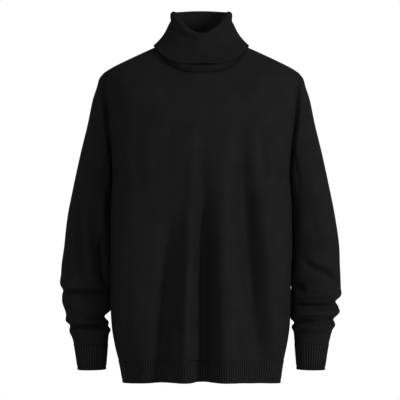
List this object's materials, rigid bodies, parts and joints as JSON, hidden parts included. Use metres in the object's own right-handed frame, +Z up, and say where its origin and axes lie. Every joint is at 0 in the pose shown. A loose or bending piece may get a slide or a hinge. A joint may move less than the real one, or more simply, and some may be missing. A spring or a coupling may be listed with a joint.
{
  "type": "turtleneck sweater",
  "caption": "Fine knit turtleneck sweater, filled out as worn, with long set-in sleeves bunched above ribbed cuffs, a folded ribbed collar and a ribbed hem.",
  "frame": {"origin": "middle of the neck, level with where the shoulder seams meet the collar, where the wearer's shoulders carry the sweater", "axes": "+Z up, -Y towards the front of the sweater, +X towards the wearer's left sleeve"},
  "size_m": [0.596, 0.2451, 0.7842],
  "materials": {
    "jersey": "black fine-gauge jersey knit, matt with a faint nap",
    "rib": "black one by one rib knit, matt"
  },
  "bodies": {
    "root": {"front": "jersey", "back": "jersey", "right_sleeve": "jersey", "left_sleeve": "jersey", "collar": "rib", "hem_rib": "rib", "right_cuff": "rib", "left_cuff": "rib"}
  },
  "joints": []
}
